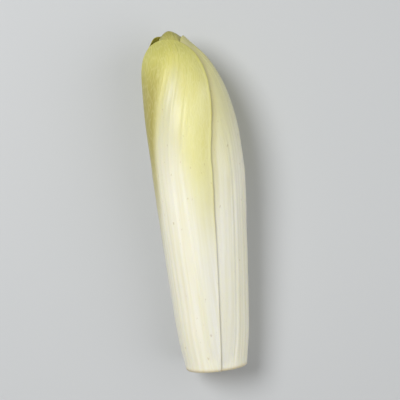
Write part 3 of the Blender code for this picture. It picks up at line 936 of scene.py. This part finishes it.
def makeCore():
    # rings from the lower pole up: the cut plate, its edge against the leaves' feet, and the cone
    plate, wallRings, coneRings = (coreShape[key] for key in ("plateRings", "wallRings", "coneRings"))
    ringCount = plate + wallRings + coneRings + 1
    piece, theta, turn = startBall("stemCore", coreShape["sides"], ringCount)
    ring = np.rint(turn / math.pi * ringCount).astype(int)
    wallShare = np.clip((ring - plate) / wallRings, 0.0, 1.0)
    coneShare = np.clip((ring - plate - wallRings) / (coneRings + 1), 0.0, 1.0)
    plateTop = coreShape["plateTop"]
    height = wallShare * plateTop + coneShare * (coreShape["height"] - plateTop)
    along = alongAt(height)
    reach = outline(along)[3]
    plateRadius = reach - readField(footField, theta, along)
    aboveIt = smoothStep((height - plateTop) / coreShape["plateFade"])
    radius = plateRadius + (coreRadius(height) - plateRadius) * aboveIt
    # on the plate the rings are evenly spaced, and the knife left it a little hollow
    plateShare = np.concatenate([[0.0], np.linspace(0.02, 1.0, plate)])[np.minimum(ring, plate)]
    onPlate = ring <= plate
    radius = np.where(onPlate, plateRadius * plateShare, radius)
    radius[ring == ringCount] = 0.0
    upright = place(theta, along, reach - radius)
    upright[:, 2] += np.where(onPlate, coreShape["hollow"] * (1.0 - plateShare ** 2), 0.0)
    shapeMesh(piece.data, upright, coreAt=upright)
    bpy.ops.object.shade_smooth_by_angle(angle=math.radians(50))
    return piece


finishPiece(makeCore(), "stem_core", stemFlesh)
print("stem core made")


def makeHeart():
    # a closed bud with the seams of its last small leaves
    piece, theta, turn = startBall("heartBud", heartShape["sides"], heartShape["rings"])
    height = heartShape["foot"] + (heartShape["top"] - heartShape["foot"]) * (1.0 - np.cos(turn)) / 2
    along = alongAt(height)
    # as thick as the innermost leaves allow
    stations = np.linspace(0.0, fullLength, heartShape["stations"])
    room = outline(stations)[3] - readField(field, fieldTheta, stations[None, :]).max(axis=0)
    bud = heartShape["radius"] * np.clip(np.sin(turn), 0.0, 1.0) ** heartShape["bluntness"]
    radius = np.minimum(bud, np.interp(along, stations, room))
    seam = np.abs(np.sin(heartShape["seams"] / 2 * theta + height / heartShape["seamHeight"]))
    radius = radius * (1.0 - heartShape["seamDepth"] * (1.0 - np.sqrt(seam)))
    upright = place(theta, along, outline(along)[3] - radius)
    # white along the seams and yellow between them, with no margin near
    level = np.full_like(height, 5.0)
    grain = np.stack([theta * heartShape["grainRadius"], heartShape["top"] - height, level], axis=-1)
    shapeMesh(piece.data, upright, leafGrain=grain, leafSkin=np.stack([seam * 0.9, height, level], axis=-1))
    bpy.ops.object.shade_smooth()
    return piece


finishPiece(makeHeart(), "heart_bud", skins["waxedLeafInner"])
print("heart bud made")


# the floor, the light and the camera
studio = {
    "floorSize": 8.0,
    "floorTones": ("#C4C7C9", "#C8CACC"),
    "sky": "#F6F4F0",
    "skyStrength": 0.32,
    "cameraHeight": 0.56,
    "lens": 100.0,
    "lean": math.radians(5.4),
}
lamps = {
    "keyLight": {"at": (-0.34, 0.22, 0.7), "size": 0.4, "power": 4.5},
    "fillLight": {"at": (0.6, -0.1, 0.55), "size": 0.9, "power": 2.5},
}


def softFloor():
    # Matt white board, painted: no pattern, only the slight unevenness of the paint
    material, tree, shader = newMaterial("mattWhiteBoard", {"Roughness": 0.75, "Specular IOR Level": 0.2})
    objectAt = addNode(tree, "ShaderNodeTexCoord", {}).outputs["Object"]
    paint = addNode(tree, "ShaderNodeTexNoise", {"Vector": objectAt, "Scale": 6.0, "Detail": 2.0})
    darker, lighter = (toLinear(code) for code in studio["floorTones"])
    tone = addNode(tree, "ShaderNodeMixRGB", {"Fac": paint, "Color1": darker, "Color2": lighter})
    tree.links.new(tone.outputs[0], shader.inputs["Base Color"])
    return material


bpy.ops.object.select_all(action="DESELECT")
bpy.ops.mesh.primitive_plane_add(size=studio["floorSize"], location=(0.0, 0.0, cadLow.z))
floor = bpy.context.object
floor.name = "floor"
floor.data.materials.append(softFloor())
floor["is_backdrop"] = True

centre = (cadLow + cadHigh) / 2
for name, lamp in lamps.items():
    bpy.ops.object.light_add(type="AREA", location=lamp["at"])
    light = bpy.context.object
    light.name = name
    light.data.shape = "DISK"
    light.data.size = lamp["size"]
    light.data.energy = lamp["power"]
    light.rotation_euler = (centre - Vector(lamp["at"])).to_track_quat("-Z", "Y").to_euler()

world = bpy.data.worlds.new("studio")
world.use_nodes = True
background = world.node_tree.nodes["Background"]
background.inputs["Color"].default_value = toLinear(studio["sky"])
background.inputs["Strength"].default_value = studio["skyStrength"]
bpy.context.scene.world = world
bpy.context.scene.view_settings.view_transform = "Standard"

bpy.ops.object.camera_add(location=(centre.x, centre.y, studio["cameraHeight"]))
camera = bpy.context.object
camera.rotation_euler = (0.0, 0.0, -studio["lean"])
camera.data.lens = studio["lens"]
bpy.context.scene.camera = camera
print("floor, lights and camera set")

low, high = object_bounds()
